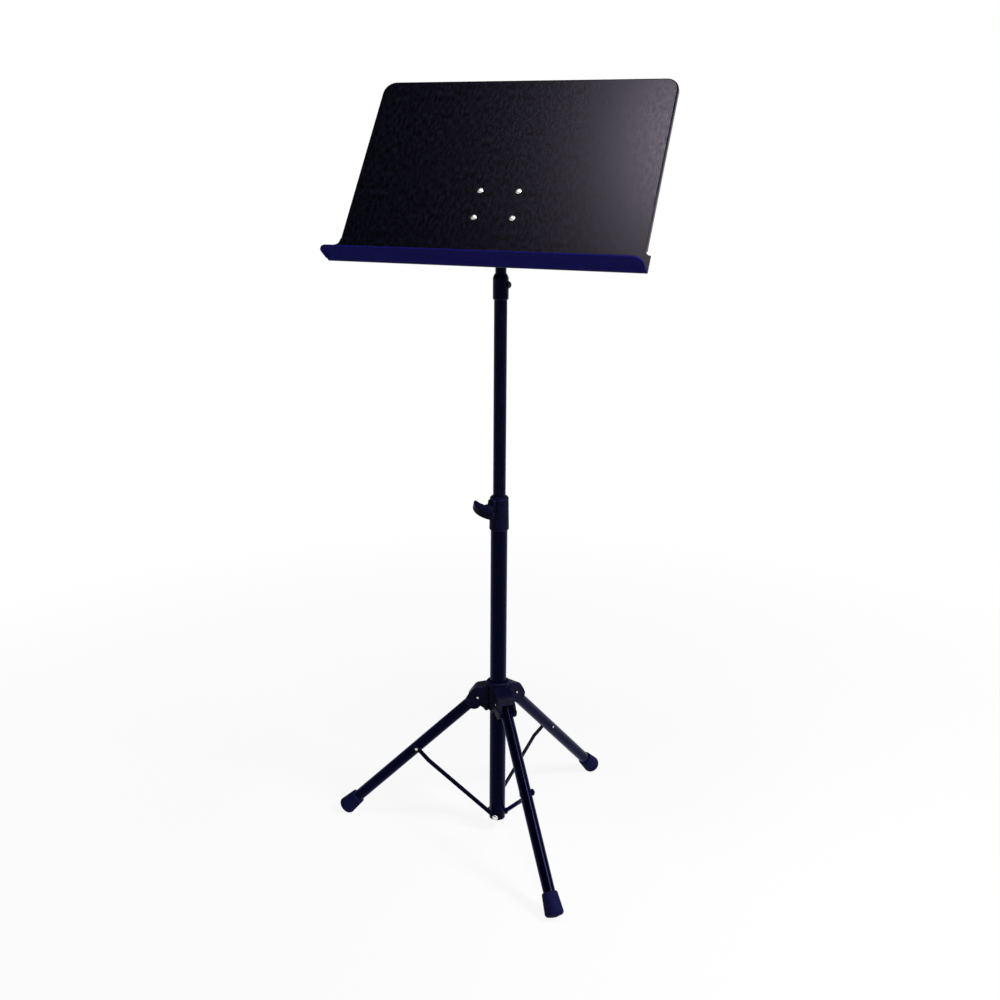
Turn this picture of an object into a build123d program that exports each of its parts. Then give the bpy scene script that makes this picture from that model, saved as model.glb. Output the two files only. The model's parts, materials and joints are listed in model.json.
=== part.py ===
from build123d import *
import os
from math import atan2, cos, degrees, hypot, radians, sin, sqrt

# Music stand with a sheet-steel desk, a two-tube mast and a folding tripod.
# Millimetres, +Z up, origin on the floor under the mast, the desk faces -Y.

# Fits and clearances
RUNNING_FIT = 0.08
SEAT_FIT = 0.05
SLIDE_FIT = 0.1
FREE_GAP = 0.3
SIDE_GAP = 0.5
CUT_MARGIN = 2.0
MID_ARC = sqrt(0.5)

# Lower tube
LOWER_TUBE_D = 25.4
LOWER_TUBE_WALL = 1.2
LOWER_TUBE_TOP_Z = 535.5
TUBE_END_CHAMFER = 0.4

# Upper tube, its guide bush and the height it stands at
UPPER_TUBE_D = 19.0
UPPER_TUBE_WALL = 1.4
UPPER_TUBE_LENGTH = 520.0
UPPER_TUBE_TOP_Z = 880.0
GUIDE_FLANGE_H = 9.0
GUIDE_SPIGOT_H = 16.0
GUIDE_BORE_D = 9.0

# Legs and feet
LEG_AZIMUTHS = (-50.7, 69.3, 189.3)
LEG_ANGLE = 45.0
LEG_LENGTH = 312.0
LEG_D = 18.0
LEG_WALL = 1.2
FOOT_SOLE_DROP = 14.2
FOOT_FLAT_DEPTH = 0.8
FOOT_LENGTH = 24.5
FOOT_RIM_D = 23.4
FOOT_RIM_CHAMFER = 1.2
FOOT_END_D = 28.0
FOOT_EDGE_R = 5.0
FOOT_CROWN = 1.6
LEG_END_IN_FOOT = 4.0

# Hub that slides on the lower tube
HUB_BORE_GAP = 0.9
HUB_COLLAR_WALL = 3.0
HUB_TOP_ABOVE_PIVOT = 27.0
HUB_BOTTOM_BELOW_PIVOT = 20.0
HUB_RIM_H = 7.0
HUB_RIM_EXTRA = 1.2
LEG_SWING_GAP = 4.0
CHEEK_THICKNESS = 3.5
HOOD_THICKNESS = 3.0
HOOD_RISE = 3.0
HOOD_GAP = 0.9
HOOD_LIP_ANGLE = 22.0
LOBE_OUT = 7.0
LOBE_DROP = 7.0
WEB_NOTCH_RISE = 4.0
WEB_FOOT = 1.0
SKIRT_THICKNESS = 1.2
SKIRT_TOP_DROP = 4.6
SKIRT_CHAMFER = 1.0
PIVOT_PIN_D = 5.0
PIVOT_HEAD_D = 6.6
PIVOT_HEAD_H = 1.6

# Hub lock screw
HUB_SCREW_D = 6.0
HUB_SCREW_DROP = 11.0
HUB_SCREW_TIP_GAP = 1.0
HUB_BOSS_D = 13.0
HUB_BOSS_END_R = 25.0
HUB_SCREW_NECK = 3.0
HUB_SCREW_HEAD_D = 17.0
HUB_SCREW_HEAD_H = 9.0
KNURL_COUNT = 18
KNURL_DEPTH = 0.7

# Braces on the legs' sides and the foot of the lower tube
BRACE_WIDTH = 6.4
BRACE_THICKNESS = 2.5
BRACE_EYE_R = 5.2
BRACE_PIN_ALONG = 142.0
BRACE_PIN_D = 4.8
BRACE_HEAD_D = 9.0
BRACE_HEAD_H = 2.2
BRACE_TAIL_D = 6.6
BRACE_TAIL_H = 1.0
BRACE_JOG_START = 8.0
BRACE_JOG_END = 26.0
BRACE_JOG_R = 6.0
FOOT_PIN_Z = 27.5
FOOT_PIN_D = 4.6
FOOT_PIN_DEPTH = 5.0
FOOT_PIN_EDGE = 7.0
FOOT_HEAD_D = 9.0
FOOT_HEAD_H = 2.0
FOOT_SIDE_GAP = 0.75
PLUG_HEIGHT = 16.0
PLUG_BORE_D = 8.0
OPEN_EYE_GAP = 1.25

# Height clutch
CLUTCH_OVERLAP = 27.5
CLUTCH_LENGTH = 52.5
CLUTCH_BOTTOM_D = 29.6
CLUTCH_TOP_D = 28.0
CLUTCH_CHAMFER = 1.4
CLUTCH_SHOULDER = 2.4
CLUTCH_KNOB_AZIMUTH = -115.0
CLUTCH_KNOB_DROP = 16.0
CLUTCH_KNOB_ROLL = -15.0
CLUTCH_LUG_WIDTH = 13.0
CLUTCH_LUG_RISE = 6.5
CLUTCH_LUG_UP = 4.5
CLUTCH_LUG_END_R = 19.0
CLUTCH_STUD_D = 6.0
CLUTCH_PAD_D = 9.0
CLUTCH_PAD_THICKNESS = 2.4
CLUTCH_BADGE_AZIMUTH = -58.0
CLUTCH_BADGE_WIDTH = 12.4
CLUTCH_BADGE_HEIGHT = 28.0
CLUTCH_BADGE_TOP_DROP = 4.0
CLUTCH_BADGE_PROUD = 0.8
BUSH_FLANGE_H = 2.5
BUSH_LENGTH = 26.0

# Wing knobs
WING_LENGTH = 43.0
WING_WIDTH = 13.0
WING_HUB_D = 15.0
WING_HUB_H = 8.0
WING_DEPTH = 15.0
WING_CROWN = 8.0
WING_TIP_BULGE = 1.2
WING_EDGE_FILLET = 2.0
WING_STANDOFF = 1.0

# Post, sleeve and lock screw under the desk
POST_D = 16.0
POST_LENGTH = 150.0
POST_EXPOSED = 81.0
POST_TANG_THICKNESS = 11.0
POST_FLAT_BELOW_PIVOT = 13.0
SLEEVE_D = 22.8
SLEEVE_LENGTH = 36.0
SLEEVE_LIP_H = 7.0
SLEEVE_CHAMFER = 1.2
SLEEVE_SHOULDER_H = 5.5
SLEEVE_LIP = 1.0
SOCKET_SCREW_D = 5.0
SOCKET_SCREW_DROP = 8.0
SOCKET_SCREW_HEAD_D = 10.6
SOCKET_SCREW_HEAD_H = 4.2
SOCKET_KEY = 3.0
SOCKET_KEY_DEPTH = 2.0

# Tilt joint behind the desk
DESK_TILT = 35.9
TILT_BOLT_D = 8.0
TILT_WASHER_D = 16.0
TILT_WASHER_THICKNESS = 1.5
TILT_BOLT_HEAD_D = 16.0
TILT_BOLT_HEAD_H = 4.5
BRACKET_THICKNESS = 2.5
BRACKET_PLATE_WIDTH = 74.0
BRACKET_PLATE_HEIGHT = 62.0
BRACKET_CORNER_R = 8.0
BRACKET_EAR_R = 10.5
BRACKET_EAR_FOOT = 40.0
PIVOT_BEHIND_FACE = 25.7
PIVOT_ABOVE_SHELF = 98.0

# Desk sheet
PANEL_WIDTH = 445.0
PANEL_HEIGHT = 306.0
SHEET = 1.2
BEND_R = 2.6
FLANGE_DEPTH = 8.0
PANEL_CORNER_R = 19.0
SHELF_WIDTH = 460.0
SHELF_DEPTH = 42.0
SHELF_CORNER_R = 15.0
HEM_WIDTH = 5.0
FLARE_HEIGHT = 26.0
FLARE_R = 10.0
DESK_RIVET_SPAN = 56.4
DESK_RIVET_RISE = 43.2
DESK_RIVET_D = 4.5
DESK_RIVET_HEAD_D = 8.4
DESK_RIVET_HEAD_H = 1.8
DESK_RIVET_TAIL_D = 6.8
DESK_RIVET_TAIL_H = 1.3

# Sizes that follow from those above
LOWER_TUBE_R = LOWER_TUBE_D / 2
LOWER_BORE_R = LOWER_TUBE_R - LOWER_TUBE_WALL
UPPER_TUBE_R = UPPER_TUBE_D / 2
UPPER_BORE_R = UPPER_TUBE_R - UPPER_TUBE_WALL
UPPER_TUBE_BOTTOM_Z = UPPER_TUBE_TOP_Z - UPPER_TUBE_LENGTH
LEG_R = LEG_D / 2
HUB_BORE_R = LOWER_TUBE_R + HUB_BORE_GAP
HUB_COLLAR_R = HUB_BORE_R + HUB_COLLAR_WALL
PIVOT_R = HUB_COLLAR_R + LEG_SWING_GAP + LEG_R
PIVOT_Z = FOOT_SOLE_DROP - FOOT_FLAT_DEPTH + LEG_LENGTH * cos(radians(LEG_ANGLE))
FOOT_EDGE_OUT = FOOT_END_D / 2 - FOOT_EDGE_R
HOOD_INNER_R = LEG_R + HOOD_GAP
HOOD_R = HOOD_INNER_R + HOOD_THICKNESS
ARM_SLOT_HALF = LEG_R + SIDE_GAP
ARM_HALF = ARM_SLOT_HALF + CHEEK_THICKNESS
LOWER_TUBE_BOTTOM_Z = FOOT_PIN_Z - FOOT_PIN_EDGE
BRACE_LEG_FACE = LEG_R + FREE_GAP
BRACE_TUBE_FACE = LOWER_TUBE_R + FOOT_SIDE_GAP
BRACE_OUTER_FACE = BRACE_TUBE_FACE + BRACE_THICKNESS
SLEEVE_TOP_Z = UPPER_TUBE_TOP_Z + SLEEVE_LIP_H
TILT_PIVOT_Z = SLEEVE_TOP_Z + POST_EXPOSED
SOCKET_SCREW_Z = UPPER_TUBE_TOP_Z - SOCKET_SCREW_DROP
CLUTCH_BOTTOM_Z = LOWER_TUBE_TOP_Z - CLUTCH_OVERLAP
CLUTCH_TOP_Z = CLUTCH_BOTTOM_Z + CLUTCH_LENGTH
CLUTCH_KNOB_Z = CLUTCH_TOP_Z - CLUTCH_KNOB_DROP
HUB_SCREW_Z = PIVOT_Z - HUB_SCREW_DROP
HUB_SCREW_AZIMUTH = LEG_AZIMUTHS[0] + 180.0
EAR_INNER_X = POST_TANG_THICKNESS / 2 + TILT_WASHER_THICKNESS + 2 * SLIDE_FIT
EAR_OUTER_X = EAR_INNER_X + BRACKET_THICKNESS


def leg_point(along):
    """Radius and height of a point on the spread leg's axis, counted from its pivot."""
    lean = radians(LEG_ANGLE)
    return PIVOT_R + along * sin(lean), PIVOT_Z - along * cos(lean)


# Brace of one leg in the leg's own plane of radius and height
BRACE_TOP = leg_point(BRACE_PIN_ALONG)
BRACE_FOOT = (0.0, FOOT_PIN_Z)
BRACE_LENGTH = hypot(BRACE_TOP[0] - BRACE_FOOT[0], BRACE_TOP[1] - BRACE_FOOT[1])


def upright(shape):
    """Put a sketch drawn as radius and height into the X-Z plane."""
    return Plane.XZ * shape


def disc(radius, low, high):
    """Upright cylinder about the mast's axis between two heights."""
    return Pos(0, 0, low) * Cylinder(radius, high - low, align=(Align.CENTER, Align.CENTER, Align.MIN))


def pipe(outer_r, inner_r, low, high):
    """Upright tube about the mast's axis between two heights."""
    return disc(outer_r, low, high) - disc(inner_r, low - CUT_MARGIN, high + CUT_MARGIN)


def cross_bar(radius, half_length, x, z):
    """Cylinder along Y, square to a leg's plane."""
    return Pos(x, 0, z) * Rot(90, 0, 0) * Cylinder(radius, 2 * half_length)


def reach(radius, near, far, z):
    """Cylinder along +X between two distances from the mast's axis."""
    bar = Cylinder(radius, far - near, align=(Align.CENTER, Align.CENTER, Align.MIN))
    return Pos(near, 0, z) * Rot(0, 90, 0) * bar


def turned(points):
    """Solid of revolution about Z from a closed outline of radius and height."""
    return revolve(upright(make_face(Polyline(*points, close=True))), Axis.Z)


def dome(base_r, height):
    """Round rivet head that stands on the X-Y plane."""
    ball_r = (base_r ** 2 + height ** 2) / (2 * height)
    cap = Pos(0, 0, height - ball_r) * Sphere(ball_r)
    return cap & disc(base_r, 0, height)


def rivet(shank_r, near, far, near_head, far_head):
    """Rivet along Y between two distances, each round head given as radius and height."""
    pin = disc(shank_r, near, far)
    pin += Pos(0, 0, near) * Rot(180, 0, 0) * dome(*near_head)
    pin += Pos(0, 0, far) * dome(*far_head)
    return Rot(-90, 0, 0) * pin


def knurled(radius, height):
    """Round grip with shallow flutes, standing on the X-Y plane."""
    grip = chamfer(disc(radius, 0, height).edges(), KNURL_DEPTH)
    flute = disc(2 * KNURL_DEPTH, -CUT_MARGIN, height + CUT_MARGIN)
    flutes = [loc * flute for loc in PolarLocations(radius + KNURL_DEPTH, KNURL_COUNT)]
    return grip - flutes


def wing_grip(bore_r, bore_depth):
    """Wing knob on the X-Y plane: round hub below a bar with a crowned outer face."""
    half = WING_LENGTH / 2 - WING_TIP_BULGE
    hub_r = WING_HUB_D / 2
    top = WING_HUB_H + WING_DEPTH
    crown_r = (half ** 2 + WING_CROWN ** 2) / (2 * WING_CROWN)
    tip_z = top - WING_CROWN
    tip_low = tip_z - WING_DEPTH / 3
    outer = RadiusArc((-half, tip_z), (half, tip_z), crown_r)
    right = SagittaArc((half, tip_z), (half, tip_low), WING_TIP_BULGE)
    under = Spline((half, tip_low), (hub_r, WING_HUB_H), tangents=((-1, 0), (-1, -1)))
    base = Line((hub_r, WING_HUB_H), (-hub_r, WING_HUB_H))
    left = [mirror(under, Plane.YZ), mirror(right, Plane.YZ)]
    outline = make_face([outer, right, under, base] + left)
    bar = extrude(upright(outline), WING_WIDTH / 2, both=True)
    bar = fillet(bar.faces().sort_by(Axis.Y)[0].edges(), WING_EDGE_FILLET)
    bar = fillet(bar.faces().sort_by(Axis.Y)[-1].edges(), WING_EDGE_FILLET)
    hub = disc(hub_r, 0, WING_HUB_H + WING_DEPTH / 2)
    return hub + bar - disc(bore_r, -CUT_MARGIN, bore_depth)


def lower_tube():
    tube = pipe(LOWER_TUBE_R, LOWER_BORE_R, LOWER_TUBE_BOTTOM_Z, LOWER_TUBE_TOP_Z)
    tube = chamfer(tube.edges().sort_by(Axis.Z)[-1], TUBE_END_CHAMFER)
    return tube - foot_pin_holes()


def foot_pin_place(azimuth):
    """Turn from +X to the side of the tube where the brace of a leg is riveted on."""
    return Rot(0, 0, azimuth + 90)


def foot_pin_holes():
    """Holes for the foot rivets, through the tube's wall and into its plug."""
    start = LOWER_BORE_R - FOOT_PIN_DEPTH - FREE_GAP
    hole = reach(FOOT_PIN_D / 2 + SEAT_FIT, start, LOWER_TUBE_D, FOOT_PIN_Z)
    return [foot_pin_place(azimuth) * hole for azimuth in LEG_AZIMUTHS]


def tube_plug():
    top = LOWER_TUBE_BOTTOM_Z + PLUG_HEIGHT
    plug = pipe(LOWER_BORE_R - SEAT_FIT, PLUG_BORE_D / 2, LOWER_TUBE_BOTTOM_Z, top)
    return plug - foot_pin_holes()


def plug_rivets():
    head_start = BRACE_OUTER_FACE + FOOT_SIDE_GAP
    shank = reach(FOOT_PIN_D / 2, LOWER_BORE_R - FOOT_PIN_DEPTH, head_start, FOOT_PIN_Z)
    head = Pos(head_start, 0, FOOT_PIN_Z) * Rot(0, 90, 0) * dome(FOOT_HEAD_D / 2, FOOT_HEAD_H)
    return Compound([foot_pin_place(azimuth) * (shank + head) for azimuth in LEG_AZIMUTHS])


def strip(start, end):
    """Flat bar between two points of a leg's plane, with round ends."""
    length = hypot(end[0] - start[0], end[1] - start[1])
    slope = degrees(atan2(end[1] - start[1], end[0] - start[0]))
    middle = Pos((start[0] + end[0]) / 2, (start[1] + end[1]) / 2)
    return middle * Rot(0, 0, slope) * SlotCenterToCenter(length, BRACE_WIDTH)


def brace_edge():
    """Edge view of a brace: beside the leg at its top, then set over to pass the tube."""
    run = (BRACE_FOOT[0] - BRACE_TOP[0]) / BRACE_LENGTH
    rise = (BRACE_FOOT[1] - BRACE_TOP[1]) / BRACE_LENGTH
    side = Plane((BRACE_TOP[0], 0, BRACE_TOP[1]), x_dir=(run, 0, rise), z_dir=(-rise, 0, run))
    end = BRACE_LENGTH + BRACE_EYE_R
    line = FilletPolyline(
        (-BRACE_EYE_R, BRACE_LEG_FACE), (BRACE_JOG_START, BRACE_LEG_FACE),
        (BRACE_JOG_END, BRACE_TUBE_FACE), (end, BRACE_TUBE_FACE), radius=BRACE_JOG_R)
    far_side = Pos(0, BRACE_THICKNESS) * line
    ends = [Line(line @ 0, far_side @ 0), Line(line @ 1, far_side @ 1)]
    ribbon = make_face([line, far_side] + ends)
    return extrude(side * ribbon, BRACE_EYE_R, both=True)


def brace(foot_gap):
    """Flat strap with round eyes; its foot eye has the given clearance on its rivet."""
    outline = strip(BRACE_TOP, BRACE_FOOT)
    outline += [Pos(*place) * Circle(BRACE_EYE_R) for place in (BRACE_TOP, BRACE_FOOT)]
    reach_y = BRACE_OUTER_FACE + CUT_MARGIN
    bar = extrude(upright(outline), -reach_y) & brace_edge()
    bar -= cross_bar(BRACE_PIN_D / 2 + RUNNING_FIT, reach_y, *BRACE_TOP)
    return bar - cross_bar(FOOT_PIN_D / 2 + foot_gap, reach_y, *BRACE_FOOT)


def on_leg(shape):
    """Move a shape from the leg's own frame, Z down the leg and X on top, to the spread leg."""
    lean = radians(LEG_ANGLE)
    top_side = (cos(lean), 0, sin(lean))
    frame = Plane((PIVOT_R, 0, PIVOT_Z), x_dir=top_side, z_dir=(sin(lean), 0, -cos(lean)))
    return frame.location * shape


def leg_tube():
    end = LEG_LENGTH - LEG_END_IN_FOOT
    tube = pipe(LEG_R, LEG_R - LEG_WALL, -LEG_R, end)
    tube &= disc(LEG_R + CUT_MARGIN, 0, end) + cross_bar(LEG_R, LEG_R, 0, 0)
    tube -= cross_bar(PIVOT_PIN_D / 2 + RUNNING_FIT, LEG_D, 0, 0)
    return on_leg(tube - cross_bar(BRACE_PIN_D / 2 + SEAT_FIT, LEG_D, 0, BRACE_PIN_ALONG))


def foot():
    """Rubber boot: widening barrel, round-edged crowned sole and a flat where it stands."""
    start = LEG_LENGTH - FOOT_LENGTH
    rim_r = FOOT_RIM_D / 2
    bore_r = LEG_R + SEAT_FIT
    end = LEG_LENGTH - LEG_END_IN_FOOT + SEAT_FIT
    lean = radians(LEG_ANGLE)
    past_end = (FOOT_SOLE_DROP - FOOT_EDGE_R - FOOT_EDGE_OUT * sin(lean)) / cos(lean)
    edge = LEG_LENGTH + past_end
    sole = edge + FOOT_EDGE_R
    slant = FOOT_EDGE_R * MID_ARC
    crown_r = (FOOT_EDGE_OUT ** 2 + FOOT_CROWN ** 2) / (2 * FOOT_CROWN)
    edges = [
        Polyline((bore_r, start), (rim_r - FOOT_RIM_CHAMFER, start), (rim_r, start + FOOT_RIM_CHAMFER)),
        Line((rim_r, start + FOOT_RIM_CHAMFER), (FOOT_END_D / 2, edge)),
        ThreePointArc((FOOT_END_D / 2, edge), (FOOT_EDGE_OUT + slant, edge + slant), (FOOT_EDGE_OUT, sole)),
        RadiusArc((FOOT_EDGE_OUT, sole), (0, sole + FOOT_CROWN), -crown_r),
        Polyline((0, sole + FOOT_CROWN), (0, end), (bore_r, end), (bore_r, start)),
    ]
    boot = on_leg(revolve(upright(make_face(edges)), Axis.Z))
    reach_x = 2 * (PIVOT_R + LEG_LENGTH)
    floor = Box(reach_x, reach_x, FOOT_SOLE_DROP, align=(Align.CENTER, Align.CENTER, Align.MAX))
    return boot - floor


def brace_rivet():
    """Rivet through a leg and its brace, with its broad head on the brace."""
    head = (BRACE_HEAD_D / 2, BRACE_HEAD_H)
    tail = (BRACE_TAIL_D / 2, BRACE_TAIL_H)
    far = BRACE_LEG_FACE + BRACE_THICKNESS + FREE_GAP
    return Pos(BRACE_TOP[0], 0, BRACE_TOP[1]) * rivet(BRACE_PIN_D / 2, -LEG_R, far, tail, head)


def arm_outline():
    """Side view of one hub arm: hood round the pivot, lower lobe, web to the collar."""
    lobe_r = PIVOT_R + LOBE_OUT
    lobe_z = PIVOT_Z - LOBE_DROP
    bottom_z = PIVOT_Z - HUB_BOTTOM_BELOW_PIVOT
    top_z = PIVOT_Z + HUB_TOP_ABOVE_PIVOT - HUB_RIM_H
    hood_z = PIVOT_Z + HOOD_RISE
    hood = Pos(PIVOT_R, hood_z) * Circle(HOOD_R)
    lobe = Pos(lobe_r, lobe_z) * Circle(HOOD_R)
    ends = make_hull(hood.edges() + lobe.edges())
    tangent = radians(90 - HOOD_LIP_ANGLE / 2)
    roof = (PIVOT_R + HOOD_R * cos(tangent), hood_z + HOOD_R * sin(tangent))
    notch = (HUB_COLLAR_R + LEG_SWING_GAP, bottom_z + WEB_NOTCH_RISE)
    web = Polygon(
        (HUB_BORE_R, bottom_z), (HUB_COLLAR_R + WEB_FOOT, bottom_z), notch, (lobe_r, lobe_z),
        roof, (HUB_COLLAR_R, top_z), (HUB_BORE_R, top_z), align=None)
    return ends + web


def leg_room():
    """Space between an arm's cheeks where the leg swings, open below and outwards."""
    far = PIVOT_R + 3 * HOOD_R
    deep = PIVOT_Z - 2 * HUB_BOTTOM_BELOW_PIVOT
    inner = PIVOT_R - HOOD_INNER_R
    lip = radians(HOOD_LIP_ANGLE)
    lip_point = (PIVOT_R + HOOD_INNER_R * cos(lip), PIVOT_Z + HOOD_INNER_R * sin(lip))
    outer_lip = (PIVOT_R + far * cos(lip), PIVOT_Z + HOOD_INNER_R * sin(lip))
    mouth = Polygon((inner, deep), (far, deep), outer_lip, lip_point, (PIVOT_R, PIVOT_Z),
                    (inner, PIVOT_Z), align=None)
    room = Pos(PIVOT_R, PIVOT_Z) * Circle(HOOD_INNER_R) + mouth
    return extrude(upright(room), ARM_SLOT_HALF, both=True)


def hub_arm():
    outline = arm_outline()
    arm = extrude(upright(outline), ARM_HALF, both=True)
    skirt_top = PIVOT_Z - SKIRT_TOP_DROP
    deep = 2 * HUB_BOTTOM_BELOW_PIVOT
    below = Pos(PIVOT_R, skirt_top - deep / 2) * Rectangle(4 * PIVOT_R, deep)
    skirt = extrude(upright(outline & below), ARM_HALF + SKIRT_THICKNESS, both=True)
    skirt = chamfer(skirt.edges().filter_by(Axis.X).group_by(Axis.Z)[-1], SKIRT_CHAMFER)
    return arm + skirt


def hub():
    top = PIVOT_Z + HUB_TOP_ABOVE_PIVOT
    bottom = PIVOT_Z - HUB_BOTTOM_BELOW_PIVOT
    body = disc(HUB_COLLAR_R, bottom, top)
    body += disc(HUB_COLLAR_R + HUB_RIM_EXTRA, top - HUB_RIM_H, top)
    body = chamfer(body.edges().group_by(Axis.Z)[-1], HUB_RIM_EXTRA)
    body += Rot(0, 0, HUB_SCREW_AZIMUTH) * reach(HUB_BOSS_D / 2, 0, HUB_BOSS_END_R, HUB_SCREW_Z)
    arm = hub_arm()
    room = leg_room() + cross_bar(PIVOT_PIN_D / 2 + SEAT_FIT, 2 * ARM_HALF, PIVOT_R, PIVOT_Z)
    body += [Rot(0, 0, azimuth) * arm for azimuth in LEG_AZIMUTHS]
    body -= [Rot(0, 0, azimuth) * room for azimuth in LEG_AZIMUTHS]
    body -= disc(HUB_BORE_R, bottom - CUT_MARGIN, top + CUT_MARGIN)
    hole = reach(HUB_SCREW_D / 2 + RUNNING_FIT, 0, HUB_BOSS_END_R + CUT_MARGIN, HUB_SCREW_Z)
    return body - Rot(0, 0, HUB_SCREW_AZIMUTH) * hole


def leg_pivot_pins():
    head = (PIVOT_HEAD_D / 2, PIVOT_HEAD_H)
    pin = Pos(PIVOT_R, 0, PIVOT_Z) * rivet(PIVOT_PIN_D / 2, -ARM_HALF, ARM_HALF, head, head)
    return Compound([Rot(0, 0, azimuth) * pin for azimuth in LEG_AZIMUTHS])


def hub_screw():
    tip = LOWER_TUBE_R + HUB_SCREW_TIP_GAP
    head_start = HUB_BOSS_END_R + HUB_SCREW_NECK
    shank = reach(HUB_SCREW_D / 2, tip, head_start, HUB_SCREW_Z)
    head = Rot(0, 90, 0) * knurled(HUB_SCREW_HEAD_D / 2, HUB_SCREW_HEAD_H)
    return Rot(0, 0, HUB_SCREW_AZIMUTH) * (shank + Pos(head_start, 0, HUB_SCREW_Z) * head)


def clutch_collar():
    bottom_r = CLUTCH_BOTTOM_D / 2
    top_r = CLUTCH_TOP_D / 2
    shoulder = LOWER_TUBE_TOP_Z + BUSH_FLANGE_H + SEAT_FIT
    mouth_r = UPPER_TUBE_R + FREE_GAP
    body = turned([
        (0, CLUTCH_BOTTOM_Z), (bottom_r - CLUTCH_CHAMFER, CLUTCH_BOTTOM_Z),
        (bottom_r, CLUTCH_BOTTOM_Z + CLUTCH_CHAMFER), (top_r, CLUTCH_TOP_Z - CLUTCH_SHOULDER),
        (top_r - CLUTCH_SHOULDER, CLUTCH_TOP_Z), (0, CLUTCH_TOP_Z)])
    knob_side = Rot(0, 0, CLUTCH_KNOB_AZIMUTH)
    body += [clutch_badge(), knob_side * clutch_lug()]
    body -= disc(LOWER_TUBE_R + SEAT_FIT, CLUTCH_BOTTOM_Z - CUT_MARGIN, shoulder)
    body -= disc(mouth_r, CLUTCH_BOTTOM_Z, CLUTCH_TOP_Z + CUT_MARGIN)
    bore = reach(CLUTCH_STUD_D / 2 + RUNNING_FIT, 0, CLUTCH_LUG_END_R + CUT_MARGIN, CLUTCH_KNOB_Z)
    pocket_end = mouth_r + CLUTCH_PAD_THICKNESS + FREE_GAP
    pocket = reach(CLUTCH_PAD_D / 2 + SEAT_FIT, 0, pocket_end, CLUTCH_KNOB_Z)
    return body - knob_side * (bore + pocket)


def clutch_lug():
    """Upright lug on the collar that the clamp stud is screwed through."""
    slot = Rot(0, 0, 90) * SlotCenterToCenter(CLUTCH_LUG_RISE, CLUTCH_LUG_WIDTH)
    lug = extrude(Plane.YZ * (Pos(0, CLUTCH_KNOB_Z + CLUTCH_LUG_UP) * slot), CLUTCH_LUG_END_R)
    return chamfer(lug.edges().group_by(Axis.X)[-1], CLUTCH_CHAMFER)


def clutch_badge():
    """Plain raised pad with an arched foot on the collar's front."""
    top = CLUTCH_TOP_Z - CLUTCH_BADGE_TOP_DROP
    foot_z = top - CLUTCH_BADGE_HEIGHT + CLUTCH_BADGE_WIDTH / 2
    shape = Pos(0, (top + foot_z) / 2) * Rectangle(CLUTCH_BADGE_WIDTH, top - foot_z)
    shape += Pos(0, foot_z) * Circle(CLUTCH_BADGE_WIDTH / 2)
    prism = Rot(0, 0, 90) * extrude(upright(shape), CLUTCH_BOTTOM_D)
    inner_r = LOWER_TUBE_R + SEAT_FIT
    slope = (CLUTCH_BOTTOM_D - CLUTCH_TOP_D) / 2 / (CLUTCH_TOP_Z - CLUTCH_BOTTOM_Z)
    low_z = top - CLUTCH_BADGE_HEIGHT
    proud_r = CLUTCH_BOTTOM_D / 2 + CLUTCH_BADGE_PROUD
    low_r = proud_r - slope * (low_z - CLUTCH_BOTTOM_Z)
    high_r = proud_r - slope * (top - CLUTCH_BOTTOM_Z)
    shell = turned([(inner_r, low_z), (low_r, low_z), (high_r, top), (inner_r, top)])
    return Rot(0, 0, CLUTCH_BADGE_AZIMUTH) * (prism & shell)


def clutch_bush():
    """Flanged liner that steadies the upper tube in the lower tube's mouth."""
    bore_r = UPPER_TUBE_R + SLIDE_FIT
    liner = pipe(LOWER_BORE_R - SEAT_FIT, bore_r, LOWER_TUBE_TOP_Z - BUSH_LENGTH, LOWER_TUBE_TOP_Z)
    return liner + pipe(LOWER_TUBE_R, bore_r, LOWER_TUBE_TOP_Z, LOWER_TUBE_TOP_Z + BUSH_FLANGE_H)


def clutch_pad():
    face_r = UPPER_TUBE_R + FREE_GAP
    pad = reach(CLUTCH_PAD_D / 2, 0, face_r + CLUTCH_PAD_THICKNESS, CLUTCH_KNOB_Z)
    pad -= disc(face_r, 0, 2 * CLUTCH_KNOB_Z)
    return Rot(0, 0, CLUTCH_KNOB_AZIMUTH) * pad


def clutch_stud():
    tip = UPPER_TUBE_R + 2 * FREE_GAP + CLUTCH_PAD_THICKNESS
    end = CLUTCH_LUG_END_R + WING_STANDOFF + WING_HUB_H + WING_DEPTH / 2
    return Rot(0, 0, CLUTCH_KNOB_AZIMUTH) * reach(CLUTCH_STUD_D / 2, tip, end, CLUTCH_KNOB_Z)


def clutch_knob():
    depth = WING_HUB_H + WING_DEPTH / 2 + SEAT_FIT
    grip = Rot(0, 0, 90 + CLUTCH_KNOB_ROLL) * wing_grip(CLUTCH_STUD_D / 2 + SEAT_FIT, depth)
    seat = Pos(CLUTCH_LUG_END_R + WING_STANDOFF, 0, CLUTCH_KNOB_Z) * Rot(0, 90, 0)
    return Rot(0, 0, CLUTCH_KNOB_AZIMUTH) * seat * grip


def upper_tube():
    tube = pipe(UPPER_TUBE_R, UPPER_BORE_R, UPPER_TUBE_BOTTOM_Z, UPPER_TUBE_TOP_Z)
    return tube - reach(SOCKET_SCREW_D / 2 + RUNNING_FIT, 0, UPPER_TUBE_D, SOCKET_SCREW_Z)


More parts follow.
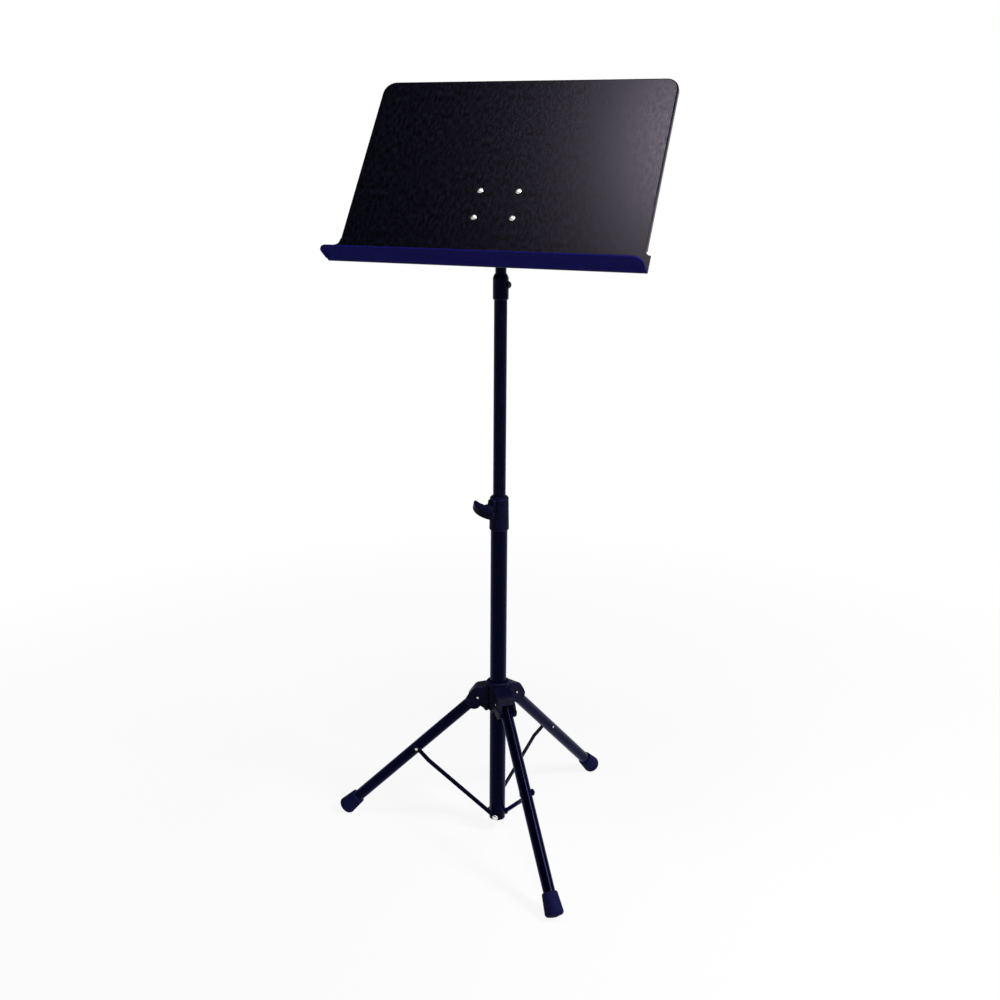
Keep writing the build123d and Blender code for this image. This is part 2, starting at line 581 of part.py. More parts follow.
def tube_guide():
    skirt = disc(LOWER_BORE_R - SLIDE_FIT, UPPER_TUBE_BOTTOM_Z - GUIDE_FLANGE_H, UPPER_TUBE_BOTTOM_Z)
    skirt = chamfer(skirt.edges().sort_by(Axis.Z)[0], TUBE_END_CHAMFER)
    spigot = disc(UPPER_BORE_R - SEAT_FIT, UPPER_TUBE_BOTTOM_Z, UPPER_TUBE_BOTTOM_Z + GUIDE_SPIGOT_H)
    return skirt + spigot - disc(GUIDE_BORE_D / 2, 0, UPPER_TUBE_TOP_Z)


def socket_sleeve():
    low = SLEEVE_TOP_Z - SLEEVE_LENGTH
    outer_r = SLEEVE_D / 2
    tube_r = UPPER_TUBE_R + SEAT_FIT
    post_r = POST_D / 2 + RUNNING_FIT
    ring = turned([
        (tube_r, low), (outer_r - SLEEVE_CHAMFER, low), (outer_r, low + SLEEVE_CHAMFER),
        (outer_r, SLEEVE_TOP_Z - SLEEVE_SHOULDER_H), (post_r + SLEEVE_LIP, SLEEVE_TOP_Z),
        (post_r, SLEEVE_TOP_Z), (post_r, UPPER_TUBE_TOP_Z), (tube_r, UPPER_TUBE_TOP_Z)])
    return ring - reach(SOCKET_SCREW_D / 2 + RUNNING_FIT, 0, SLEEVE_D, SOCKET_SCREW_Z)


def socket_screw():
    """Round-headed screw with a hexagon socket."""
    head_start = SLEEVE_D / 2 + FREE_GAP
    shank = reach(SOCKET_SCREW_D / 2, POST_D / 2 + FREE_GAP, head_start, SOCKET_SCREW_Z)
    key = extrude(RegularPolygon(SOCKET_KEY / 2, 6, major_radius=False), SOCKET_KEY_DEPTH + CUT_MARGIN)
    head = dome(SOCKET_SCREW_HEAD_D / 2, SOCKET_SCREW_HEAD_H)
    head -= Pos(0, 0, SOCKET_SCREW_HEAD_H - SOCKET_KEY_DEPTH) * key
    return shank + Pos(head_start, 0, SOCKET_SCREW_Z) * Rot(0, 90, 0) * head


def desk_post():
    """Round rod whose top is flattened and rounded into an eye for the tilt bolt."""
    half = POST_D / 2
    bottom = SLEEVE_TOP_Z + POST_EXPOSED - POST_LENGTH
    rod = disc(half, bottom, TILT_PIVOT_Z + half)
    rod = chamfer(rod.edges().sort_by(Axis.Z)[0], TUBE_END_CHAMFER)
    round_top = disc(POST_D, bottom, TILT_PIVOT_Z) + reach(half, -POST_D, POST_D, TILT_PIVOT_Z)
    flat_low = TILT_PIVOT_Z - POST_FLAT_BELOW_PIVOT
    flat_size = 2 * POST_D
    flat = Box(flat_size, flat_size, flat_size, align=(Align.MIN, Align.CENTER, Align.MIN))
    flat = Pos(POST_TANG_THICKNESS / 2, 0, flat_low) * flat
    rod = (rod & round_top) - flat - mirror(flat, Plane.YZ)
    return rod - reach(TILT_BOLT_D / 2 + RUNNING_FIT, -POST_D, POST_D, TILT_PIVOT_Z)


def tilt_washers():
    start = POST_TANG_THICKNESS / 2 + SLIDE_FIT
    washer = reach(TILT_WASHER_D / 2, start, start + TILT_WASHER_THICKNESS, TILT_PIVOT_Z)
    washer -= reach(TILT_BOLT_D / 2 + RUNNING_FIT, 0, POST_D, TILT_PIVOT_Z)
    return Compound([washer, mirror(washer, Plane.YZ)])


def tilt_bolt():
    end = EAR_OUTER_X + WING_STANDOFF + WING_HUB_H + WING_DEPTH / 2
    shank = reach(TILT_BOLT_D / 2, -EAR_OUTER_X, end, TILT_PIVOT_Z)
    head = dome(TILT_BOLT_HEAD_D / 2, TILT_BOLT_HEAD_H)
    return shank + Pos(-EAR_OUTER_X, 0, TILT_PIVOT_Z) * Rot(0, -90, 0) * head


def tilt_knob():
    depth = WING_HUB_H + WING_DEPTH / 2 + FREE_GAP
    grip = wing_grip(TILT_BOLT_D / 2 + RUNNING_FIT, depth)
    return Pos(EAR_OUTER_X + WING_STANDOFF, 0, TILT_PIVOT_Z) * Rot(0, 90, 0) * grip


def on_desk(shape):
    """Move a shape from the desk's frame, face on Y=0 and shelf on Z=0, to the tilted desk."""
    lean = Location((0, 0, TILT_PIVOT_Z), (-DESK_TILT, 0, 0))
    return lean * Pos(0, -PIVOT_BEHIND_FACE, -PIVOT_ABOVE_SHELF) * shape


def tilt_bracket():
    """Riveted plate with two rounded cheeks that take the tilt bolt."""
    back = SHEET
    plate = RectangleRounded(BRACKET_PLATE_WIDTH, BRACKET_PLATE_HEIGHT, BRACKET_CORNER_R)
    body = extrude(Plane.XZ.offset(-back) * (Pos(0, PIVOT_ABOVE_SHELF) * plate), -BRACKET_THICKNESS)
    ear_edges = Pos(PIVOT_BEHIND_FACE, PIVOT_ABOVE_SHELF) * Circle(BRACKET_EAR_R)
    base_y = back + BRACKET_THICKNESS / 2
    base = Pos(base_y, PIVOT_ABOVE_SHELF) * Rectangle(BRACKET_THICKNESS, BRACKET_EAR_FOOT)
    ear = make_hull(ear_edges.edges() + base.edges())
    ear = Pos(EAR_INNER_X, 0, 0) * extrude(Plane.YZ * ear, BRACKET_THICKNESS)
    body += ear + mirror(ear, Plane.YZ)
    bolt = Pos(0, PIVOT_BEHIND_FACE, PIVOT_ABOVE_SHELF)
    body -= bolt * reach(TILT_BOLT_D / 2 + SEAT_FIT, -BRACKET_PLATE_WIDTH, BRACKET_PLATE_WIDTH, 0)
    return on_desk(body - rivet_holes())


def rivet_places():
    grid = GridLocations(DESK_RIVET_SPAN, DESK_RIVET_RISE, 2, 2)
    return [Pos(place.position.X, 0, PIVOT_ABOVE_SHELF + place.position.Y) for place in grid]


def rivet_holes():
    hole = cross_bar(DESK_RIVET_D / 2 + SEAT_FIT, PIVOT_BEHIND_FACE, 0, 0)
    return [place * hole for place in rivet_places()]


def desk_rivets():
    head = (DESK_RIVET_HEAD_D / 2, DESK_RIVET_HEAD_H)
    tail = (DESK_RIVET_TAIL_D / 2, DESK_RIVET_TAIL_H)
    pin = rivet(DESK_RIVET_D / 2, 0, SHEET + BRACKET_THICKNESS, head, tail)
    return Compound([on_desk(place * pin) for place in rivet_places()])


def panel_flat():
    """Face of the desk: plain sheet inside the bent rim, flared to the shelf's width below."""
    rim_low = FLARE_HEIGHT + FLARE_R
    flat_width = PANEL_WIDTH - 2 * BEND_R
    flat_top = PANEL_HEIGHT - BEND_R
    upper = RectangleRounded(flat_width, 2 * flat_top, PANEL_CORNER_R - BEND_R)
    upper &= Pos(0, rim_low) * Rectangle(SHELF_WIDTH, PANEL_HEIGHT, align=(Align.CENTER, Align.MIN))
    low = BEND_R - SHEET
    edge = (SHELF_WIDTH / 2, FLARE_HEIGHT)
    top = (PANEL_WIDTH / 2, rim_low)
    skirt = make_face([
        Polyline((0, low), (0, rim_low), top),
        Spline(top, edge, tangents=((0, -1), (1, 0))),
        Polyline(edge, (SHELF_WIDTH / 2, low), (0, low)),
    ])
    return extrude(upright(upper + skirt + mirror(skirt, Plane.YZ)), -SHEET)


def panel_rim():
    """Back-turned flange, bent round the sides and the top."""
    half = PANEL_WIDTH / 2
    low = FLARE_HEIGHT + FLARE_R
    inner_r = BEND_R - SHEET
    middle = (half - BEND_R + BEND_R * MID_ARC, BEND_R - BEND_R * MID_ARC)
    inside = (half - BEND_R + inner_r * MID_ARC, BEND_R - inner_r * MID_ARC)
    section = make_face([
        ThreePointArc((half - BEND_R, 0), middle, (half, BEND_R)),
        Polyline((half, BEND_R), (half, FLANGE_DEPTH), (half - SHEET, FLANGE_DEPTH), (half - SHEET, BEND_R)),
        ThreePointArc((half - SHEET, BEND_R), inside, (half - BEND_R, SHEET)),
        Line((half - BEND_R, SHEET), (half - BEND_R, 0)),
    ])
    route = FilletPolyline((half, low), (half, PANEL_HEIGHT), (-half, PANEL_HEIGHT), (-half, low),
                           radius=PANEL_CORNER_R)
    return sweep(Pos(0, 0, low) * section, upright(route))


def shelf():
    """Ledge bent forwards from the face, with rounded front corners and a hem turned under."""
    inner_r = BEND_R - SHEET
    inner_mid = (-inner_r + inner_r * MID_ARC, inner_r - inner_r * MID_ARC)
    outer_mid = (-inner_r + BEND_R * MID_ARC, inner_r - BEND_R * MID_ARC)
    bend = make_face([
        ThreePointArc((0, inner_r), inner_mid, (-inner_r, 0)),
        Line((-inner_r, 0), (-inner_r, -SHEET)),
        ThreePointArc((-inner_r, -SHEET), outer_mid, (SHEET, inner_r)),
        Line((SHEET, inner_r), (0, inner_r)),
    ])
    corner = extrude(Plane.YZ * bend, SHELF_WIDTH / 2, both=True)
    ledge = RectangleRounded(SHELF_WIDTH, 2 * SHELF_DEPTH, SHELF_CORNER_R)
    ledge &= Pos(0, -inner_r) * Rectangle(SHELF_WIDTH, SHELF_DEPTH, align=(Align.CENTER, Align.MAX))
    inside_width = SHELF_WIDTH - 2 * HEM_WIDTH
    inside_depth = 2 * (SHELF_DEPTH - HEM_WIDTH)
    hem = ledge - RectangleRounded(inside_width, inside_depth, SHELF_CORNER_R - HEM_WIDTH)
    hem &= Pos(0, -2 * HEM_WIDTH) * Rectangle(SHELF_WIDTH, SHELF_DEPTH, align=(Align.CENTER, Align.MAX))
    return corner + extrude(ledge, -SHEET) + extrude(hem, -2 * SHEET)


def desk_panel():
    return on_desk(panel_flat() + panel_rim() + shelf() - rivet_holes())


def build():
    """Every node of the stand, by name."""
    nodes = {
        "desk_panel": desk_panel(), "desk_rivets": desk_rivets(), "tilt_bracket": tilt_bracket(),
        "tilt_bolt": tilt_bolt(), "tilt_washers": tilt_washers(), "tilt_knob": tilt_knob(),
        "desk_post": desk_post(), "socket_sleeve": socket_sleeve(), "socket_screw": socket_screw(),
        "upper_tube": upper_tube(), "tube_guide": tube_guide(), "lower_tube": lower_tube(),
        "clutch_collar": clutch_collar(), "clutch_bush": clutch_bush(), "clutch_pad": clutch_pad(),
        "clutch_stud": clutch_stud(), "clutch_knob": clutch_knob(), "hub": hub(),
        "leg_pivot_pins": leg_pivot_pins(), "hub_screw": hub_screw(),
        "tube_plug": tube_plug(), "plug_rivets": plug_rivets(),
    }
    leg = leg_tube()
    boot = foot()
    leg_pin = brace_rivet()
    for number, azimuth in enumerate(LEG_AZIMUTHS, start=1):
        turn = Rot(0, 0, azimuth)
        foot_gap = RUNNING_FIT if number == 1 else OPEN_EYE_GAP
        nodes[f"leg_tube_{number}"] = turn * leg
        nodes[f"foot_{number}"] = turn * boot
        nodes[f"brace_rivet_{number}"] = turn * leg_pin
        nodes[f"brace_{number}"] = turn * brace(foot_gap)
    return nodes


def main():
    os.makedirs("parts", exist_ok=True)
    for name, solid in build().items():
        export_step(solid, f"parts/{name}.step")


if __name__ == "__main__":
    main()
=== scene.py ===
import json
import math

import bpy
from mathutils import Matrix, Vector


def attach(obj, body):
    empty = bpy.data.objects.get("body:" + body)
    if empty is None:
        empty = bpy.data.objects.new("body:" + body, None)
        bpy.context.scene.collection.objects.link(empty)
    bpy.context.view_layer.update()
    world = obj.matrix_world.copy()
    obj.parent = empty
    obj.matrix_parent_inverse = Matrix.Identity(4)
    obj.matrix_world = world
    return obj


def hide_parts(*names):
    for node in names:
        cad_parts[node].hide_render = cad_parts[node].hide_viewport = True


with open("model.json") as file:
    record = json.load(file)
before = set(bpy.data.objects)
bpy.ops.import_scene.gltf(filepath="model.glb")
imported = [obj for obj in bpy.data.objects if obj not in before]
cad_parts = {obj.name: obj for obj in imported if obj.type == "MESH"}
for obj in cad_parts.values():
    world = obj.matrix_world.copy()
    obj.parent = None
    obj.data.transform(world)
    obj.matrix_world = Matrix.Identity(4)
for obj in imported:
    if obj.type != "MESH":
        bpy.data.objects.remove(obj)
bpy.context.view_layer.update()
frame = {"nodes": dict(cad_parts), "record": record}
MM = 0.001

# The lowest and highest values that a noise has over most of a surface
NOISE_LOW, NOISE_HIGH = 0.3, 0.7
# The cosine between a normal and its rounded one where an edge starts, and where it is worn most
EDGE_STARTS, EDGE_WORN = 0.995, 0.85

# The desk's own frame: its face is Y = 0 and its shelf is Z = 0.
DESK_TILT = math.radians(35.9)
TILT_PIVOT = Vector((0, 0, 968 * MM))
PIVOT_ON_DESK = Vector((0, 25.7 * MM, 98 * MM))


def linear(code):
    """sRGB hex colour as linear RGBA."""
    parts = [int(code[i:i + 2], 16) / 255 for i in (1, 3, 5)]
    return [p / 12.92 if p <= 0.04045 else ((p + 0.055) / 1.055) ** 2.4 for p in parts] + [1.0]


def add(tree, kind, inputs=None, **settings):
    """Adds a node with its settings; each input is a value or the output it is linked from."""
    node = tree.nodes.new(kind)
    for name, value in settings.items():
        setattr(node, name, value)
    for name, value in (inputs or {}).items():
        if isinstance(value, bpy.types.NodeSocket):
            tree.links.new(value, node.inputs[name])
        else:
            node.inputs[name].default_value = value
    return node


def new_material(name):
    """Empty node material and its Object coordinates."""
    material = bpy.data.materials.new(name)
    material.use_nodes = True
    tree = material.node_tree
    tree.nodes.clear()
    place = add(tree, "ShaderNodeTexCoord").outputs["Object"]
    return material, tree, place


def soft_edges(tree, radius):
    """Normal rounded at edges by a radius, and how far that turns it: 0 on open surfaces, 1 where
    an edge is worn most."""
    rounded = add(tree, "ShaderNodeBevel", {"Radius": radius}, samples=4).outputs["Normal"]
    flat = add(tree, "ShaderNodeNewGeometry").outputs["Normal"]
    along = add(tree, "ShaderNodeVectorMath", {0: rounded, 1: flat}, operation="DOT_PRODUCT")
    rubbed = add(tree, "ShaderNodeMapRange", {
        "Value": along.outputs["Value"], "From Min": EDGE_STARTS, "From Max": EDGE_WORN})
    return rounded, rubbed.outputs["Result"]


def finish_material(tree, height, depth, normal, sockets):
    """Ends a material in one Principled shader whose normal follows a height of the given depth."""
    bump = add(tree, "ShaderNodeBump", {
        "Height": height, "Strength": 1.0, "Distance": depth,
        **({"Normal": normal} if normal else {})})
    shader = add(tree, "ShaderNodeBsdfPrincipled", {**sockets, "Normal": bump.outputs["Normal"]})
    add(tree, "ShaderNodeOutputMaterial", {"Surface": shader.outputs["BSDF"]})


def desk_powder_coat():
    """Semi-gloss polyester powder on bent sheet steel. The face is a neutral near-black with an
    orange peel about 3 mm across and a speckle that is drawn up the sheet a little, 4 mm wide
    where the real one is about 1 mm, so that it shows; it is dull in the dust round the rivets
    and rubbed a little paler at the edges. The shelf carries painted shade: it is coloured
    bluer, as the same coat looks in the shade."""
    material, tree, place = new_material("desk_powder_coat")
    turn = Matrix.Rotation(DESK_TILT, 3, "X")
    on_desk = add(tree, "ShaderNodeMapping", {
        "Vector": place, "Rotation": (DESK_TILT, 0, 0),
        "Location": PIVOT_ON_DESK - turn @ TILT_PIVOT})
    axes = add(tree, "ShaderNodeSeparateXYZ", {"Vector": on_desk.outputs["Vector"]})
    shelf = add(tree, "ShaderNodeMapRange", {
        "Value": axes.outputs["Y"], "From Min": -1 * MM, "From Max": -4 * MM})
    stretched = add(tree, "ShaderNodeMapping", {
        "Vector": on_desk.outputs["Vector"], "Scale": (1.0, 1.0, 0.4)})
    texture = add(tree, "ShaderNodeTexNoise", {
        "Vector": stretched.outputs["Vector"], "Scale": 1 / (4 * MM),
        "Detail": 4.0, "Roughness": 0.7})
    peel = add(tree, "ShaderNodeTexNoise", {"Vector": place, "Scale": 1 / (3 * MM), "Detail": 2.0})
    mottle = add(tree, "ShaderNodeTexNoise", {
        "Vector": place, "Scale": 1 / (14 * MM), "Detail": 5.0, "Roughness": 0.6})
    speckle = add(tree, "ShaderNodeMapRange", {
        "Value": texture.outputs["Fac"], "From Min": 0.41, "From Max": 0.66})
    face = add(tree, "ShaderNodeMix", {
        "Factor": speckle.outputs["Result"], "A": linear("#000000"), "B": linear("#080918")},
        data_type="RGBA")
    # Painted shade: the shelf is coloured bluer than the face, as the same coat looks in the shade
    shelf_painted_shade = add(tree, "ShaderNodeMix", {
        "Factor": mottle.outputs["Fac"], "A": linear("#030346"), "B": linear("#060656")},
        data_type="RGBA")
    colour = add(tree, "ShaderNodeMix", {
        "Factor": shelf.outputs["Result"], "A": face.outputs["Result"],
        "B": shelf_painted_shade.outputs["Result"]}, data_type="RGBA")
    gloss = add(tree, "ShaderNodeMapRange", {
        "Value": speckle.outputs["Result"], "To Min": 0.275, "To Max": 0.37})
    matt = add(tree, "ShaderNodeMix", {
        "Factor": shelf.outputs["Result"], "A": gloss.outputs["Result"], "B": 0.95})
    corner = add(tree, "ShaderNodeAmbientOcclusion", {"Distance": 3 * MM}, samples=8)
    dust = add(tree, "ShaderNodeMapRange", {
        "Value": corner.outputs["AO"], "From Min": 1.0, "From Max": 0.4, "To Max": 0.4})
    rough = add(tree, "ShaderNodeMath", {
        0: matt.outputs["Result"], 1: dust.outputs["Result"]}, operation="ADD", use_clamp=True)
    rounded, rubbed = soft_edges(tree, 0.8 * MM)
    worn = add(tree, "ShaderNodeMix", {
        "Factor": rubbed, "A": colour.outputs["Result"], "B": linear("#0e0e16")}, data_type="RGBA")
    finish_material(tree, peel.outputs["Fac"], 0.03 * MM, rounded, {
        "Base Color": worn.outputs["Result"], "Roughness": rough.outputs["Value"],
        "IOR": 1.5, "Specular IOR Level": 0.125, "Specular Tint": linear("#f7e8ff")})
    return material


def tube_powder_coat(name, slides):
    """Gloss black powder on drawn steel tube and strap, with a blue bloom where it is seen at a
    slant; a peel about 2 mm across breaks the long highlights a little, paler flecks about 1 mm
    wide lie in the powder, the gloss drifts along the tube, and cut edges are coloured paler,
    partly as rubbing wear and partly as a painted highlight.
    The tube that slides has fine upright scratches from its bush, drawn 0.6 mm wide to show."""
    material, tree, place = new_material(name)
    peel = add(tree, "ShaderNodeTexNoise", {"Vector": place, "Scale": 1 / (2 * MM), "Detail": 2.0})
    drift = add(tree, "ShaderNodeTexNoise", {
        "Vector": place, "Scale": 1 / (30 * MM), "Detail": 4.0, "Roughness": 0.6})
    colour = add(tree, "ShaderNodeMix", {
        "Factor": drift.outputs["Fac"], "A": linear("#000001"), "B": linear("#020205")},
        data_type="RGBA")
    powder = add(tree, "ShaderNodeTexNoise", {
        "Vector": place, "Scale": 1 / (1.2 * MM), "Detail": 2.0})
    flecks = add(tree, "ShaderNodeMapRange", {
        "Value": powder.outputs["Fac"], "From Min": 0.55, "From Max": 0.7})
    colour = add(tree, "ShaderNodeMix", {
        "Factor": flecks.outputs["Result"], "A": colour.outputs["Result"], "B": linear("#08080f")},
        data_type="RGBA")
    if slides:
        upright = add(tree, "ShaderNodeMapping", {"Vector": place, "Scale": (1.0, 1.0, 0.012)})
        rubs = add(tree, "ShaderNodeTexNoise", {
            "Vector": upright.outputs["Vector"], "Scale": 1 / (0.6 * MM), "Detail": 2.0})
        scratches = add(tree, "ShaderNodeMapRange", {
            "Value": rubs.outputs["Fac"], "From Min": 0.58, "From Max": 0.7})
        colour = add(tree, "ShaderNodeMix", {
            "Factor": scratches.outputs["Result"], "A": colour.outputs["Result"],
            "B": linear("#15162c")}, data_type="RGBA")
    rough = add(tree, "ShaderNodeMapRange", {
        "Value": drift.outputs["Fac"], "From Min": NOISE_LOW, "From Max": NOISE_HIGH,
        "To Min": 0.2, "To Max": 0.27})
    rounded, rubbed = soft_edges(tree, 0.6 * MM)
    # Edges are coloured paler: partly rubbing wear, partly a painted highlight along them
    worn = add(tree, "ShaderNodeMix", {
        "Factor": rubbed, "A": colour.outputs["Result"], "B": linear("#24242e")}, data_type="RGBA")
    finish_material(tree, peel.outputs["Fac"], 0.04 * MM, rounded, {
        "Base Color": worn.outputs["Result"], "Roughness": rough.outputs["Result"],
        "IOR": 1.5, "Specular IOR Level": 0.065, "Specular Tint": linear("#8e93ff"),
        "Sheen Weight": 0.5, "Sheen Roughness": 0.42, "Sheen Tint": linear("#0806b8")})
    return material


def moulded_nylon():
    """Glass-filled nylon out of a spark-eroded mould: an even fine grain, drawn 1.4 mm across
    where the real one is about 0.3 mm so that it shows, satin, blue-black, with paler flow
    clouds about 18 mm wide and paler edges, partly polish and partly a painted highlight."""
    material, tree, place = new_material("moulded_nylon")
    grain = add(tree, "ShaderNodeTexNoise", {
        "Vector": place, "Scale": 1 / (1.4 * MM), "Detail": 1.0})
    flow = add(tree, "ShaderNodeTexNoise", {
        "Vector": place, "Scale": 1 / (18 * MM), "Detail": 3.0, "Distortion": 1.0})
    colour = add(tree, "ShaderNodeMix", {
        "Factor": flow.outputs["Fac"], "A": linear("#020208"), "B": linear("#0b0b2a")},
        data_type="RGBA")
    rough = add(tree, "ShaderNodeMapRange", {
        "Value": grain.outputs["Fac"], "From Min": NOISE_LOW, "From Max": NOISE_HIGH,
        "To Min": 0.42, "To Max": 0.55})
    rounded, rubbed = soft_edges(tree, 1 * MM)
    # Edges are coloured paler: partly polish, partly a painted highlight along them
    worn = add(tree, "ShaderNodeMix", {
        "Factor": rubbed, "A": colour.outputs["Result"], "B": linear("#1f1f4a")}, data_type="RGBA")
    finish_material(tree, grain.outputs["Fac"], 0.12 * MM, rounded, {
        "Base Color": worn.outputs["Result"], "Roughness": rough.outputs["Result"],
        "IOR": 1.53, "Specular IOR Level": 0.03})
    return material


def boot_rubber():
    """Moulded black rubber: matt, with a dusty bloom in clouds about 8 mm wide that is paler and
    rougher, and a fine grain from the mould, drawn 1 mm across so that it shows."""
    material, tree, place = new_material("boot_rubber")
    grain = add(tree, "ShaderNodeTexNoise", {"Vector": place, "Scale": 1 / (1 * MM), "Detail": 2.0})
    bloom = add(tree, "ShaderNodeTexNoise", {
        "Vector": place, "Scale": 1 / (8 * MM), "Detail": 4.0, "Roughness": 0.65})
    colour = add(tree, "ShaderNodeMix", {
        "Factor": bloom.outputs["Fac"], "A": linear("#090922"), "B": linear("#131440")},
        data_type="RGBA")
    rough = add(tree, "ShaderNodeMapRange", {
        "Value": bloom.outputs["Fac"], "From Min": NOISE_LOW, "From Max": NOISE_HIGH,
        "To Min": 0.6, "To Max": 0.8})
    rounded, rubbed = soft_edges(tree, 1 * MM)
    worn = add(tree, "ShaderNodeMix", {
        "Factor": rubbed, "A": colour.outputs["Result"], "B": linear("#16173a")}, data_type="RGBA")
    finish_material(tree, grain.outputs["Fac"], 0.12 * MM, rounded, {
        "Base Color": worn.outputs["Result"], "Roughness": rough.outputs["Result"],
        "IOR": 1.52, "Specular IOR Level": 0.03})
    return material


def bright_nickel():
    """Nickel-plated steel rivets: bright, slightly warm metal whose heads carry fine scuffs from
    the riveting tool about 0.5 mm apart, with painted shade darkening the foot of each."""
    material, tree, place = new_material("nickel_plated_rivets")
    scuffs = add(tree, "ShaderNodeTexNoise", {
        "Vector": place, "Scale": 1 / (0.5 * MM), "Detail": 3.0})
    colour = add(tree, "ShaderNodeMix", {
        "Factor": scuffs.outputs["Fac"], "A": linear("#dcdad4"), "B": linear("#f6f4ee")},
        data_type="RGBA")
    # Painted shade: each head is darkened where it is closed in round its foot
    corner = add(tree, "ShaderNodeAmbientOcclusion", {"Distance": 2.5 * MM}, samples=8)
    unshaded_share = add(tree, "ShaderNodeMapRange", {
        "Value": corner.outputs["AO"], "From Min": 0.62, "From Max": 1.0})
    painted_shade_at_foot = add(tree, "ShaderNodeMix", {
        "Factor": unshaded_share.outputs["Result"], "A": linear("#101014"), "B": colour.outputs["Result"]},
        data_type="RGBA")
    rough = add(tree, "ShaderNodeMapRange", {
        "Value": scuffs.outputs["Fac"], "From Min": NOISE_LOW, "From Max": NOISE_HIGH,
        "To Min": 0.36, "To Max": 0.5})
    finish_material(tree, scuffs.outputs["Fac"], 0.01 * MM, None, {
        "Base Color": painted_shade_at_foot.outputs["Result"], "Roughness": rough.outputs["Result"],
        "Metallic": 1.0})
    return material


def painted_rivet():
    """Steel rivets coated together with the legs: glossy blue-black paint that the tripod's use
    has worn through to bright metal on the crown, with a ragged edge about 0.6 mm fine."""
    material, tree, place = new_material("coated_steel_rivets")
    crown = add(tree, "ShaderNodeAttribute", attribute_name="crown")
    chips = add(tree, "ShaderNodeTexNoise", {
        "Vector": place, "Scale": 1 / (0.6 * MM), "Detail": 3.0})
    ragged = add(tree, "ShaderNodeMapRange", {
        "Value": chips.outputs["Fac"], "From Min": NOISE_LOW, "From Max": NOISE_HIGH,
        "To Min": -0.1, "To Max": 0.1})
    height = add(tree, "ShaderNodeMath", {
        0: crown.outputs["Fac"], 1: ragged.outputs["Result"]}, operation="ADD")
    bare = add(tree, "ShaderNodeMapRange", {
        "Value": height.outputs["Value"], "From Min": 0.78, "From Max": 0.95})
    colour = add(tree, "ShaderNodeMix", {
        "Factor": bare.outputs["Result"], "A": linear("#04040f"), "B": linear("#dcdad4")},
        data_type="RGBA")
    rough = add(tree, "ShaderNodeMapRange", {
        "Value": chips.outputs["Fac"], "From Min": NOISE_LOW, "From Max": NOISE_HIGH,
        "To Min": 0.3, "To Max": 0.42})
    finish_material(tree, chips.outputs["Fac"], 0.01 * MM, None, {
        "Base Color": colour.outputs["Result"], "Roughness": rough.outputs["Result"],
        "Metallic": bare.outputs["Result"], "IOR": 1.5, "Specular IOR Level": 0.075})
    return material


def black_zinc():
    """Black-passivated zinc on turned steel screws: dark metal, satin, worn paler in specks about
    1 mm across where fingers and keys rub it."""
    material, tree, place = new_material("black_zinc_screws")
    wear = add(tree, "ShaderNodeTexNoise", {
        "Vector": place, "Scale": 1 / (1.2 * MM), "Detail": 5.0, "Roughness": 0.7})
    rubbed = add(tree, "ShaderNodeMapRange", {
        "Value": wear.outputs["Fac"], "From Min": 0.5, "From Max": 0.75})
    colour = add(tree, "ShaderNodeMix", {
        "Factor": rubbed.outputs["Result"], "A": linear("#15151c"), "B": linear("#4a4a50")},
        data_type="RGBA")
    rough = add(tree, "ShaderNodeMapRange", {
        "Value": wear.outputs["Fac"], "To Min": 0.46, "To Max": 0.3})
    rounded, _ = soft_edges(tree, 0.4 * MM)
    finish_material(tree, wear.outputs["Fac"], 0.01 * MM, rounded, {
        "Base Color": colour.outputs["Result"], "Roughness": rough.outputs["Result"],
        "Metallic": 1.0})
    return material


def cast_zinc():
    """Die-cast zinc left as it came from the die: dull grey metal with a sandy skin about 1 mm
    across and darker flow marks about 7 mm wide."""
    material, tree, place = new_material("die_cast_zinc")
    sand = add(tree, "ShaderNodeTexNoise", {"Vector": place, "Scale": 1 / (1 * MM), "Detail": 3.0})
    flow = add(tree, "ShaderNodeTexNoise", {
        "Vector": place, "Scale": 1 / (7 * MM), "Detail": 3.0, "Distortion": 1.5})
    colour = add(tree, "ShaderNodeMix", {
        "Factor": flow.outputs["Fac"], "A": linear("#5c5c61"), "B": linear("#8d8d90")},
        data_type="RGBA")
    rough = add(tree, "ShaderNodeMapRange", {
        "Value": sand.outputs["Fac"], "To Min": 0.42, "To Max": 0.62})
    finish_material(tree, sand.outputs["Fac"], 0.05 * MM, None, {
        "Base Color": colour.outputs["Result"], "Roughness": rough.outputs["Result"],
        "Metallic": 1.0})
    return material


finishes = {
    "desk_paint": desk_powder_coat(),
    "tube_paint": tube_powder_coat("tube_powder_coat", False),
    "black_nylon": moulded_nylon(),
    "foot_rubber": boot_rubber(),
    "bright_rivet": bright_nickel(),
    "dark_screw": black_zinc(),
    "cast_plug": cast_zinc(),
}

slot_of = {part["node"]: part["material_slot"] for part in frame["record"]["subparts"]}
for name, node in frame["nodes"].items():
    node.data.materials.clear()
    node.data.materials.append(finishes[slot_of[name]])
frame["nodes"]["upper_tube"].data.materials[0] = tube_powder_coat("rubbed_tube_powder_coat", True)


# Rivets, in millimetres and degrees. A head or tail is its radius and its height.
LEG_AZIMUTHS = (-50.7, 69.3, 189.3)
# Hub: distance from the mast's axis, distance to either side of the leg, height
PIVOT_PLACE, PIVOT_HEAD = (29.6, 13.0, 234.02), (3.3, 1.6)
# Braces: distance from the mast's axis and height; head and tail stand on two sides of the leg
BRACE_PIN = (130.01, 133.61)
BRACE_HEAD_AT, BRACE_HEAD = 12.1, (4.5, 2.2)
BRACE_TAIL_AT, BRACE_TAIL = -9.0, (3.3, 1.0)
